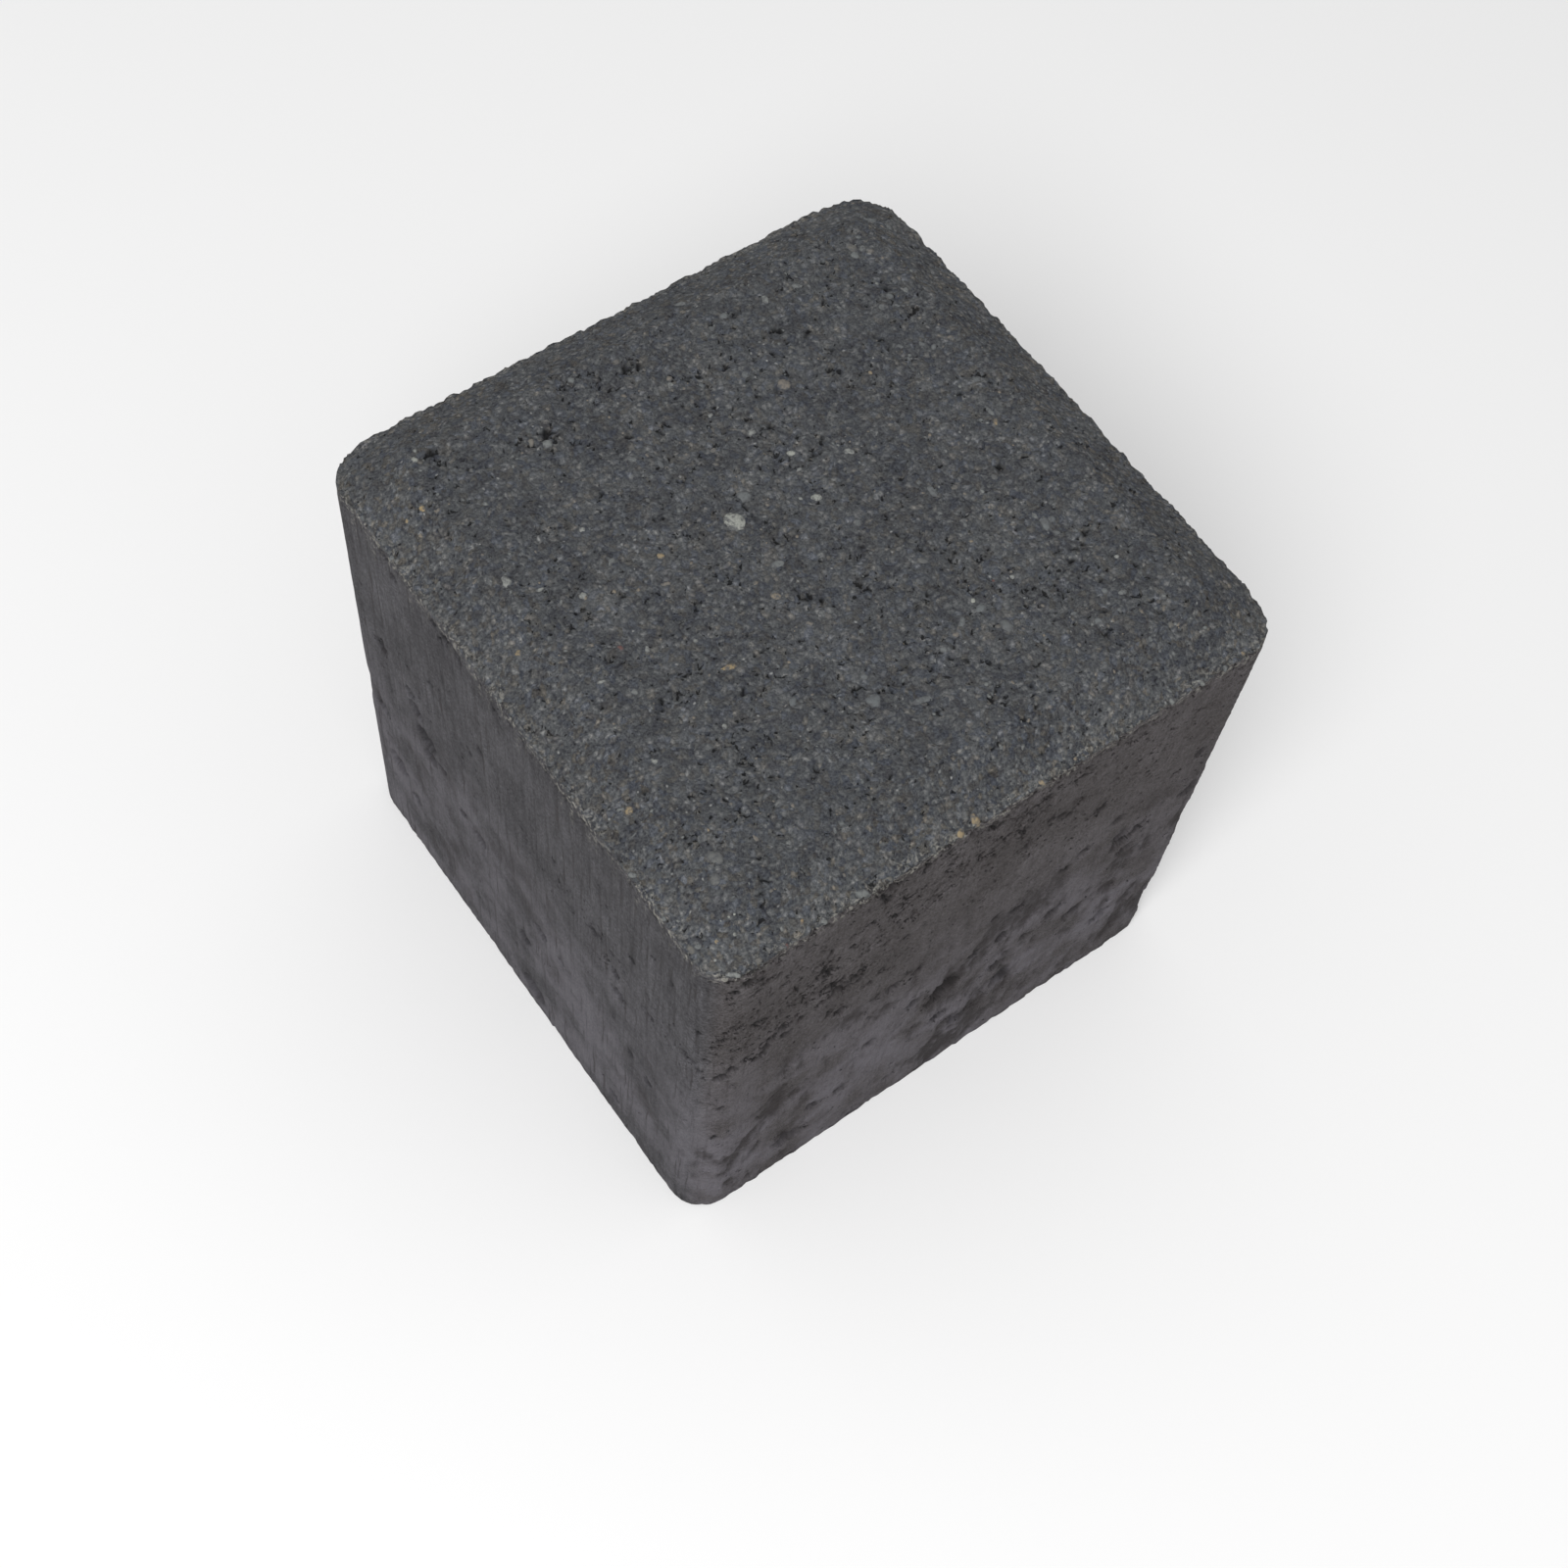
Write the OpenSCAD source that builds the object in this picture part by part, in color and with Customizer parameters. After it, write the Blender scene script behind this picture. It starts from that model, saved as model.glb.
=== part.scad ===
// Pressed concrete paving sett: a square block, cast in one piece.
// Millimetres. It stands on its bed face: Z is up, and the origin is the middle of that face.

/* [Block] */
// Length along X
block_l = 100; // [80:1:240]
// Width along Y
block_w = 100; // [80:1:240]
// Height from the bed face to the walking face
block_h = 100; // [60:1:160]
// Radius of the four upright corners
corner_r = 6.5; // [2:0.5:15]

/* [Chamfer] */
// Distance that the chamfer reaches in from each side
chamfer_w = 9; // [4:0.5:15]
// Depth that the chamfer falls below the walking face
chamfer_h = 5; // [2:0.5:10]
// Easing radius between the chamfer's slope and the walking face
arris_r = 2; // [0.5:0.25:4]
// Radius of the walking face's own corners
face_corner_r = 2.5; // [0.5:0.5:10]

/* [Air holes] */
// Width of the widest air hole in the sides
air_hole_w = 6; // [2:0.5:7]
// Depth of the deepest air hole
air_hole_d = 2.2; // [1:0.1:3]

/* [Hidden] */
$fn = 72;

// Section of an air hole: steps down its wall, where on the oval the wall ends, and how far the
// cutter stands out of the side
bowl_steps = 2;
bowl_angle = 60;
overcut = 1;

// The larger air holes that the mould wall opened, for the two kinds of side. Each is placed by
// shares of the side: to the right of its middle, as seen from outside, over the flat between
// the corners, and up from the bed to the shoulder. Then come the shares of the greatest width
// and of the greatest depth.
torn_side_holes = [
    [0.35, 0.52, 0.75, 0.9],
    [0.37, 0.47, 0.6, 0.85],
    [-0.03, 0.36, 1, 0.8],
    [0.28, 0.32, 0.65, 0.8],
    [-0.02, 0.23, 0.55, 0.8],
    [0.04, 0.15, 0.7, 0.9],
    [0.13, 0.22, 0.75, 0.6],
    [-0.36, 0.11, 0.85, 1],
    [0.38, 0.2, 0.7, 0.6],
    [-0.45, 0.65, 0.45, 0.7],
    [0.31, 0.64, 0.45, 0.65],
    [0.24, 0.59, 0.45, 0.7],
    [0.09, 0.43, 0.5, 0.7],
    [-0.31, 0.2, 0.45, 0.55],
    [-0.12, 0.54, 0.4, 0.65],
    [-0.29, 0.59, 0.45, 0.7]
];
drawn_side_holes = [
    [-0.33, 0.57, 0.75, 0.55],
    [-0.305, 0.51, 0.9, 0.75],
    [-0.295, 0.46, 0.6, 0.95],
    [-0.44, 0.24, 0.85, 0.7],
    [-0.38, 0.19, 0.45, 0.6],
    [0.03, 0.055, 1, 0.9],
    [0.32, 0.54, 0.5, 0.7],
    [-0.13, 0.4, 0.55, 0.65],
    [0.07, 0.355, 0.55, 0.6],
    [0.01, 0.24, 0.55, 0.6],
    [-0.47, 0.4, 0.55, 0.6],
    [0.24, 0.65, 0.4, 0.45]
];

// Rounds to a thousandth of a millimetre, so that the rim's runs and corners meet face to face
function snap(v) = round(v * 1000) / 1000;

// The chamfer's slope, and the length that the easing takes off each side of the arris
slope_angle = atan(chamfer_h / chamfer_w);
easing = arris_r * tan(slope_angle / 2);
easing_steps = 6;

// Radius of the turn that the chamfer makes round a corner, at the height where it meets
// the sides. It is wider than the upright corner, so there the slope runs on down a little.
turn_r = snap(chamfer_w + easing + face_corner_r);
runout = (sqrt(2) - 1) * turn_r;
shoulder_z = block_h - chamfer_h;

// Points of the eased arris: X is the distance in from the side, Y the height
easing_points = [
    for (i = [0 : easing_steps])
        let (turn = slope_angle * (1 - i / easing_steps))
        [
            chamfer_w + easing - arris_r * sin(turn),
            block_h - arris_r * (1 - cos(turn))
        ]
];

// Outline of the rim from its foot up to the walking face, as [distance in, height]
rim_points = [
    for (p = concat(
        [[-runout, 0], [-runout, shoulder_z - runout * tan(slope_angle)]],
        easing_points
    ))
        [snap(p[0]), snap(p[1])]
];

// Plan of the block, with its corners rounded
module plan(length, width, radius) {
    square([length - 2 * radius, width], center = true);
    square([length, width - 2 * radius], center = true);
    for (x = [-1, 1], y = [-1, 1])
        translate([x * (length / 2 - radius), y * (width / 2 - radius)])
            circle(radius);
}

// Straight run of the rim: the section across a block of this span, swept over a length
module rim_run(span, length) {
    near_side = [for (p = rim_points) [p[0] - span / 2, p[1]]];
    far_side = [for (i = [len(rim_points) - 1 : -1 : 0])
        [span / 2 - rim_points[i][0], rim_points[i][1]]];
    translate([0, length / 2, 0])
        rotate([90, 0, 0])
            linear_extrude(length)
                polygon(concat(near_side, far_side));
}

// Corner of the rim: the same section turned through a quarter of a circle
module rim_corner() {
    section = [for (p = rim_points) [turn_r - p[0], p[1]]];
    rotate_extrude(angle = 90)
        polygon(concat([[0, 0]], section, [[0, block_h]]));
}

// Body with the chamfer and its eased arris running all the way round
module rim_envelope() {
    rim_run(block_l, block_w - 2 * turn_r);
    rotate([0, 0, 90])
        rim_run(block_w, block_l - 2 * turn_r);
    for (quarter = [
        [1, 1, 0],
        [-1, 1, 90],
        [-1, -1, 180],
        [1, -1, 270]
    ])
        translate([
            quarter[0] * (block_l / 2 - turn_r),
            quarter[1] * (block_w / 2 - turn_r),
            0
        ])
            rotate([0, 0, quarter[2]])
                rim_corner();
}

// Air hole: a bowl with an oval section and a small flat bottom, open on the plane Y = 0 and
// sunk towards +Y
module air_hole(width, depth) {
    bowl_points = [
        for (i = [0 : bowl_steps])
            let (turn = bowl_angle * i / bowl_steps)
            [width / 2 * cos(turn), depth * sin(turn) / sin(bowl_angle)]
    ];
    rotate([-90, 0, 0])
        rotate_extrude($fn = 36)
            polygon(concat(
                [[0, -overcut], [width / 2, -overcut]],
                bowl_points,
                [[0, depth]]
            ));
}

// Air holes of the side that faces -Y, on a block of this length and width
module side_holes(holes, length, width) {
    for (hole = holes)
        translate([
            hole[0] * (length - 2 * corner_r),
            -width / 2,
            hole[1] * shoulder_z
        ])
            air_hole(hole[2] * air_hole_w, hole[3] * air_hole_d);
}

// Block with its upright sides from the mould and its rim from the ram that pressed it
module pressed_block() {
    intersection() {
        linear_extrude(block_h)
            plan(block_l, block_w, corner_r);
        rim_envelope();
    }
}

// The whole sett: sides that face each other carry the same air holes, turned half round
module paver() {
    color("#4b4f53")
        difference() {
            pressed_block();
            for (turn = [0, 180])
                rotate([0, 0, turn]) {
                    side_holes(torn_side_holes, block_l, block_w);
                    rotate([0, 0, -90])
                        side_holes(drawn_side_holes, block_w, block_l);
                }
        }
}

paver();
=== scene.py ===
import math
from functools import partial

import bpy
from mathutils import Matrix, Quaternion, Vector


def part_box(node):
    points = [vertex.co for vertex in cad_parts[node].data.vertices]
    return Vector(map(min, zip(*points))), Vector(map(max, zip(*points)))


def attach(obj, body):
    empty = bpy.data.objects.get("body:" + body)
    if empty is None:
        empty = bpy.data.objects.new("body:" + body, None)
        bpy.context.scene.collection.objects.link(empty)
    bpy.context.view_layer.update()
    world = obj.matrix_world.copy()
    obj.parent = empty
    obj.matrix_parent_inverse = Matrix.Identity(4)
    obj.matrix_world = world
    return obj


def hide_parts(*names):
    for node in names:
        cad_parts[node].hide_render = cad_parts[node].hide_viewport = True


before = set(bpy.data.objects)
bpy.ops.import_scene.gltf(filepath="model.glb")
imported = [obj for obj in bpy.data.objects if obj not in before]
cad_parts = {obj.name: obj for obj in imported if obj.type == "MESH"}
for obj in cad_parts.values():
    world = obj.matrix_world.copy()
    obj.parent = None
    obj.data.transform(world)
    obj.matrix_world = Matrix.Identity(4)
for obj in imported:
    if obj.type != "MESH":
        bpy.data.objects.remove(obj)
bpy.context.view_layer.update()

mm = 0.001
scene = bpy.context.scene
print("frame loaded:", ", ".join(sorted(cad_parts)))


# What a node's mode sets, where it isn't the operation
modeNames = {"MapRange": "interpolation_type", "Mix": "data_type", "TexVoronoi": "feature"}


def addNode(tree, kind, *values, **settings):
    # Adds a node, with its mode after a dot, and links or fills its sockets by place or, from a
    # dictionary, by name. Map Range takes value, from least, from most, to least and to most.
    kind, _, mode = kind.partition(".")
    node = tree.nodes.new(kind if "Node" in kind else "ShaderNode" + kind)
    if mode:
        settings[modeNames.get(kind, "operation")] = mode
    for name, value in settings.items():
        setattr(node, name, value)
    links = values[0] if values and isinstance(values[0], dict) else dict(enumerate(values))
    for key, value in links.items():
        live = [s for s in node.inputs if s.enabled]
        socket = live[key] if isinstance(key, int) else next(s for s in live if s.name == key)
        if isinstance(value, bpy.types.Node):
            value = next(s for s in value.outputs if s.enabled)
        if isinstance(value, bpy.types.NodeSocket):
            tree.links.new(value, socket)
        else:
            socket.default_value = value
    node.location = (len(tree.nodes) % 24 * 190, -(len(tree.nodes) // 24) * 260)
    return node


def clearTree(owner):
    # Empties the node tree of a material or world, and gives what adds nodes to it
    owner.use_nodes = True
    owner.node_tree.nodes.clear()
    return partial(addNode, owner.node_tree)


def chain(add, kind, first, *others):
    # Joins the first two values by a node of this kind, the outcome with the third, and so on
    for other in others:
        first = add(kind, first, other)
    return first


def hexColor(code):
    # A colour written in sRGB hex, turned to linear values
    channels = [int(code[i:i + 2], 16) / 255 for i in (1, 3, 5)]
    linear = [c / 12.92 if c <= 0.04045 else ((c + 0.055) / 1.055) ** 2.4 for c in channels]
    return (*linear, 1)


def setStops(ramp, stops):
    # Fills a colour ramp from pairs of place and sRGB hex colour
    elements = ramp.color_ramp.elements
    while len(elements) < len(stops):
        elements.new(1.0)
    for element, (place, code) in zip(elements, stops):
        element.position = place
        element.color = hexColor(code)


def startTree(name, sizes):
    # A Geometry Nodes tree with one named input for each size, and the sockets that feed it
    tree = bpy.data.node_groups.new(name, "GeometryNodeTree")
    for direction in ("INPUT", "OUTPUT"):
        tree.interface.new_socket("Geometry", in_out=direction, socket_type="NodeSocketGeometry")
    kinds = {int: "Int", float: "Float", tuple: "Vector", bpy.types.Object: "Object"}
    for label, value in sizes.items():
        tree.interface.new_socket(label, in_out="INPUT", socket_type="NodeSocket" + kinds[type(value)])
    given = addNode(tree, "NodeGroupInput").outputs
    return tree, given


def growMesh(name, tree, sizes, start, triangles=None):
    # Runs the tree on a starting mesh, thins the result if asked to, and keeps a plain mesh
    carrier = bpy.data.objects.new(name + "Carrier", start)
    scene.collection.objects.link(carrier)
    modifier = carrier.modifiers.new("Nodes", "NODES")
    modifier.node_group = tree
    for item in tree.interface.items_tree:
        if item.in_out == "INPUT" and item.name in sizes:
            modifier[item.identifier] = sizes[item.name]
    if triangles:
        full = carrier.evaluated_get(bpy.context.evaluated_depsgraph_get()).data
        full.calc_loop_triangles()
        thin = carrier.modifiers.new("Thin", "DECIMATE")
        thin.ratio = triangles / len(full.loop_triangles)
    graph = bpy.context.evaluated_depsgraph_get()
    graph.update()
    made = bpy.data.meshes.new_from_object(
        carrier.evaluated_get(graph), preserve_all_data_layers=True, depsgraph=graph)
    bpy.data.objects.remove(carrier)
    made.name = name
    made.shade_smooth()
    for vertex in made.vertices:
        vertex.co = [min(max(v, a), b) for v, a, b in zip(vertex.co, low, high)]
    piece = bpy.data.objects.new(name, made)
    scene.collection.objects.link(piece)
    made.calc_loop_triangles()
    print(name, len(made.loop_triangles), "triangles")
    return piece


def pointMesh(name, rows, labels):
    # Loose points in millimetres, with the further numbers of each row kept as attributes
    mesh = bpy.data.meshes.new(name)
    mesh.from_pydata([[v * mm for v in row[:3]] for row in rows], [], [])
    for place, label in enumerate(labels):
        layer = mesh.attributes.new(label, "FLOAT", "POINT")
        layer.data.foreach_set("value", [float(row[3 + place]) for row in rows])
    return mesh


# The camera stands above the near corner, rolled a little
cameraSettings = {
    "place": (-126.45, -138.55, 366.67),
    "aim": (-8.02, -12.08, 50.0),
    "roll": 8.25,
    "lens": 52.64,
}
camera = bpy.data.objects.new("Camera", bpy.data.cameras.new("Camera"))
scene.collection.objects.link(camera)
scene.camera = camera
place = Vector(cameraSettings["place"]) * mm
look = Vector(cameraSettings["aim"]) * mm - place
turn = look.to_track_quat("-Z", "Y") @ Quaternion((0, 0, 1), math.radians(cameraSettings["roll"]))
camera.location = place
camera.rotation_mode = "QUATERNION"
camera.rotation_quaternion = turn
camera.data.lens = cameraSettings["lens"]
camera.data.sensor_width = 36
camera.data.clip_start = 0.01
camera.data.clip_end = 20

low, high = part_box("paver")
blockSize = tuple(high - low)
topZ = blockSize[2] / mm
sideAt = -blockSize[0] / 2 / mm

# Pressed concrete: dry sand and cement with black pigment, vibrated and stamped in a steel
# mould. The stamped face stays open and sandy, and the mould walls leave the sides close-grained,
# two of them torn rough and two drawn smooth in upright lines.
mix = {
    "faceRamp": ((0.0, "#1d1d20"), (0.25, "#393a3e"), (0.5, "#4f5153"), (0.75, "#676869"), (1.0, "#8a8a89")),
    "tornRamp": ((0.0, "#262222"), (0.25, "#3f3b3b"), (0.5, "#524e4f"), (0.75, "#635f61"), (1.0, "#787478")),
    "drawnRamp": ((0.0, "#222224"), (0.25, "#373639"), (0.5, "#49484b"), (0.75, "#5b5a5e"), (1.0, "#757579")),
    "earthTint": "#fff0dc",
    "slateTint": "#e0e9ff",
    # Paler, bluer foot of the sides: partly painted reflection of the floor and sky
    "foot": "#757279",
    # Painted shade for the shallow side hollows and the deepest drag grooves
    "mottle": "#2f2b2b",
    "shadowed": "#111112",
    "shoulder": "#918f89",
    # Painted highlight: glints of the sand
    "speck": "#b0b1af",
    "lumpCell": 2.8 * mm,
    "sandCell": 0.85 * mm,
    "gritSize": 0.4 * mm,
    "midSize": 1.9 * mm,
    "cloudSize": 11 * mm,
    "streakWidth": 0.75 * mm,
    "crumbSize": 0.7 * mm,
    "glintCell": 0.9 * mm,
    "facePit": 0.85 * mm,
    "sidePit": 0.75 * mm,
    "pitLimit": 0.325,
    "driftSize": 7 * mm,
    "clusterSize": 15 * mm,
    "waveSize": 16 * mm,
    "nibbleSize": 2 * mm,
    "tearSpread": (0.65, 0.65, 1),
    "dragSpread": (1, 1, 0.05),
    "roughness": 0.88,
    "ior": 1.5,
    "specular": 0.2,
}


def raggedPits(add, place, size, crowd):
    # The lowest parts of a rough noise, as small pits with ragged rims; the crowd value adds more
    rough = add("TexNoise", place, 1 / size, 3.0, 0.6)
    floorLevel = add("Math.ADD", crowd, mix["pitLimit"])
    return add("MapRange", add("Math.SUBTRACT", floorLevel, rough), 0, 0.04)


concrete = bpy.data.materials.new("pressed concrete")
add = clearTree(concrete)
restPlace, grainPlace = (
    add("Attribute", attribute_name=label).outputs["Vector"] for label in ("restPlace", "grainPlace"))
hollow, stamped, flatFace, rubbed, torn, pitCrowd, mottle, slot = (
    add("Attribute", attribute_name=label).outputs["Fac"]
    for label in ("hollow", "stamped", "flatFace", "rubbed", "torn", "pitCrowd", "mottle", "slot"))
upZ = add("SeparateXYZ", restPlace).outputs["Z"]
offFace = add("Math.SUBTRACT", 1.0, stamped)

# Cement-coated sand: grit of 0.4 mm, grains of 0.85 mm paler at their crowns with painted shade
# in the gaps between them, lumps of 2.8 mm and slow clouds of pigment
grit = add("TexNoise", restPlace, 1 / mix["gritSize"], 2.0, 0.7)
mid = add("TexNoise", grainPlace, 1 / mix["midSize"], 3.0, 0.6)
cloud = add("TexNoise", restPlace, 1 / mix["cloudSize"], 4.0, 0.6)
jitter = add("VectorMath.SUBTRACT", grit.outputs["Color"], (0.5, 0.5, 0.5))
jittered = add("VectorMath.MULTIPLY_ADD", jitter, (0.5 * mm,) * 3, grainPlace)
sand = add("TexVoronoi", jittered, 1 / mix["sandCell"])
sandTone, sandEarth, sandSlate = add("SeparateXYZ", sand.outputs["Color"]).outputs
sandDome = add("MapRange", sand.outputs["Distance"], 0.15, 0.75, 1.0, 0.0)
# Each grain's tone fades to nothing at its edge: painted shade in the gaps between grains
sandCrown = add("Math.MULTIPLY", sandDome, sandTone)
lumps = add("TexVoronoi", grainPlace, 1 / mix["lumpCell"])
lumpTone = add("SeparateXYZ", lumps.outputs["Color"])
gritPull = add("MapRange", flatFace, 0, 1, 1.2, 1.0)
faceTone = add("Math.MULTIPLY_ADD", gritPull, -0.5, add("Math.MULTIPLY", grit, gritPull))
for layer, share in ((mid, 0.5), (cloud, 0.3), (lumpTone, 0.1), (sandCrown, 0.45)):
    faceTone = add("Math.MULTIPLY_ADD", layer, share, faceTone)
faceBase = add("ValToRGB", add("Math.SUBTRACT", faceTone, 0.055))
setStops(faceBase, mix["faceRamp"])

# Single grains lean to brown, more of them on the chamfer, or to blue
earthMost = add("MapRange", flatFace, 0, 1, 0.8, 0.5)
earthShare = add("MapRange", sandEarth, 0.55, 1, 0, earthMost)
earthy = add("Mix.RGBA", earthShare, faceBase, hexColor(mix["earthTint"]), blend_type="MULTIPLY")
slateShare = add("MapRange", sandSlate, 0.55, 1, 0, 0.6)
faceColor = add("Mix.RGBA", slateShare, earthy.outputs[2], hexColor(mix["slateTint"]),
                blend_type="MULTIPLY")

# Upright lines of the mould wall, 0.3 mm wide and some 12 mm long, on the smooth sides
stretched = add("Mapping", {"Vector": restPlace, "Scale": mix["dragSpread"]})
streak = add("TexNoise", stretched, 1 / mix["streakWidth"], 2.0, 0.6)
streakPull = add("MapRange", torn, 0, 1, 0.5, 0.2)
sideLevel = add("Math.MULTIPLY_ADD", streakPull, -0.5, add("Math.MULTIPLY", streak, streakPull))
for layer, share in ((grit, 1.4), (mid, 0.6), (cloud, 0.8)):
    sideLevel = add("Math.MULTIPLY_ADD", layer, share, sideLevel)
rimTorn = add("MapRange", torn, 0, 1, 0.94, 0.88)
rimShade = add("MapRange", upZ, 82 * mm, 91 * mm, 0.88, rimTorn)
sideTone = add("Math.SUBTRACT", sideLevel, rimShade)
tornBase = add("ValToRGB", sideTone)
setStops(tornBase, mix["tornRamp"])
drawnBase = add("ValToRGB", sideTone)
setStops(drawnBase, mix["drawnRamp"])
sideBase = add("Mix.RGBA", torn, drawnBase, tornBase)
# The foot of the sides is painted paler and bluer in patches: partly painted reflection of the floor and sky,
# partly the sides' own tone
footPatch = add("MapRange", cloud, 0.4, 0.6, 0.15, 0.95)
footTorn = add("MapRange", torn, 0, 1, 0.62, 0.95)
footGrit = add("MapRange", grit, 0.3, 0.7, 0.7, 1.05)
footMost = chain(add, "Math.MULTIPLY", footPatch, footTorn, footGrit)
footShare = add("MapRange.SMOOTHSTEP", upZ, 74 * mm, 20 * mm, 0, footMost)
# The shallow hollows lower down are painted dark: painted shade in them
mottleGrain = add("Math.MULTIPLY_ADD", mid, 1.1, mottle)
mottleShare = add("MapRange", mottleGrain, 0.65, 1.65, 0, 0.85)
# The deepest of the upright drag grooves are painted dark: painted shade in them
scoreTorn = add("MapRange", torn, 0, 1, 0.6, 0.25)
scoreMost = add("MapRange", cloud, 0.4, 0.6, 0, scoreTorn)
score = add("MapRange", streak, 0.41, 0.33, 0, scoreMost)
sideColor = sideBase.outputs[2]
for share, name in ((footShare, "foot"), (mottleShare, "mottle"), (score, "mottle")):
    sideColor = add("Mix.RGBA", share, sideColor, hexColor(mix[name])).outputs[2]
color = add("Mix.RGBA", stamped, sideColor, faceColor.outputs[2]).outputs[2]

# Cement dust rubbed pale along the shoulder in crumbs of 0.7 mm, and painted highlights of
# glinting sand: true glints are under 0.1 mm, and are painted at 0.25 mm to show
crumbs = add("TexNoise", grainPlace, 1 / mix["crumbSize"], 3.0, 0.7)
crumbShare = add("MapRange", crumbs, 0.51, 0.63)
rubbedShare = add("Math.MULTIPLY", crumbShare, rubbed)
glints = add("TexVoronoi", grainPlace, 1 / mix["glintCell"])
glintTone = add("SeparateXYZ", glints.outputs["Color"])
glintPick = add("MapRange", glintTone, 0.9, 1.0, 0, 0.55)
glintRound = add("MapRange", glints.outputs["Distance"], 0.26, 0.12)
glintShare = chain(add, "Math.MULTIPLY", glintPick, glintRound, stamped)

# Pits, air holes, voids, crevices and slots are painted dark to the bottom: painted shade in them
facePits = raggedPits(add, grainPlace, mix["facePit"], pitCrowd)
tearPlace = add("VectorMath.MULTIPLY", grainPlace, mix["tearSpread"])
sidePits = raggedPits(add, tearPlace, mix["sidePit"], pitCrowd)
pits = add("Math.ADD", add("Math.MULTIPLY", facePits, stamped), add("Math.MULTIPLY", sidePits, offFace))
pitMost = add("MapRange", stamped, 0, 1, 0.74, 0.85)
hollowGrit = add("Math.MULTIPLY_ADD", grit, 0.5, hollow)
hollowShare = add("MapRange", hollowGrit, 0.3, 1.15, 0, 0.95)
pitShare = add("Math.MULTIPLY", pits, pitMost)
darkest = chain(add, "Math.MAXIMUM", hollowShare, pitShare, slot)
for share, name in ((rubbedShare, "shoulder"), (glintShare, "speck"), (darkest, "shadowed")):
    color = add("Mix.RGBA", share, color, hexColor(mix[name])).outputs[2]

# Relief too fine for the mesh
sandRise = add("Math.MULTIPLY_ADD", sandDome, 0.7, grit)
gritRise = add("Math.MULTIPLY_ADD", mid, 1.0, sandRise)
pitRelief = add("Math.MULTIPLY_ADD", pits, -1.2, gritRise)
bumpSide = add("MapRange", torn, 0, 1, 0.4, 0.8)
bumpShare = add("MapRange", stamped, 0, 1, bumpSide, 0.9)
sandBump = add("Bump", {"Height": pitRelief, "Strength": bumpShare, "Distance": 0.3 * mm})
surface = add("BsdfPrincipled", {"Base Color": color, "Roughness": mix["roughness"], "IOR": mix["ior"],
                                 "Specular IOR Level": mix["specular"], "Normal": sandBump})
add("OutputMaterial", surface)
print("concrete mixed")

# The block itself: the frame's form drawn as a fine grid, with the relief pressed into it
blockSizes = {
    "Block Size": blockSize,
    "Corner Radius": 6.5 * mm,
    "Chamfer Width": 9 * mm,
    "Chamfer Depth": 5 * mm,
    "Turn Radius": 12 * mm,
    "Arris Blend": 0.4 * mm,
    "Grid Spacing": 0.3 * mm,
    "Wave Depth": 0.16 * mm,
    "Lump Depth": 0.36 * mm,
    "Sand Size": 0.9 * mm,
    "Sand Depth": 0.45 * mm,
    "Pit Depth": 0.45 * mm,
    "Drag Width": 0.75 * mm,
    "Drag Depth": 0.3 * mm,
    "Torn Depth": 0.5 * mm,
    "Mottle Size": 3.2 * mm,
    "Mottle Depth": 0.35 * mm,
    "Void Cell": 7.0 * mm,
    "Void Depth": 1.6 * mm,
    "Nibble Depth": 0.5 * mm,
    "Slot Depth": 0.5 * mm,
    "Burr Height": 0.2 * mm,
}
blockTriangles = 198000
airHoleWidth = 6.0
airHoleDepth = 2.2
nearSpread = 1.25
pitLeastDepth = 0.35
pitDepthShare = 0.7

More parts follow.
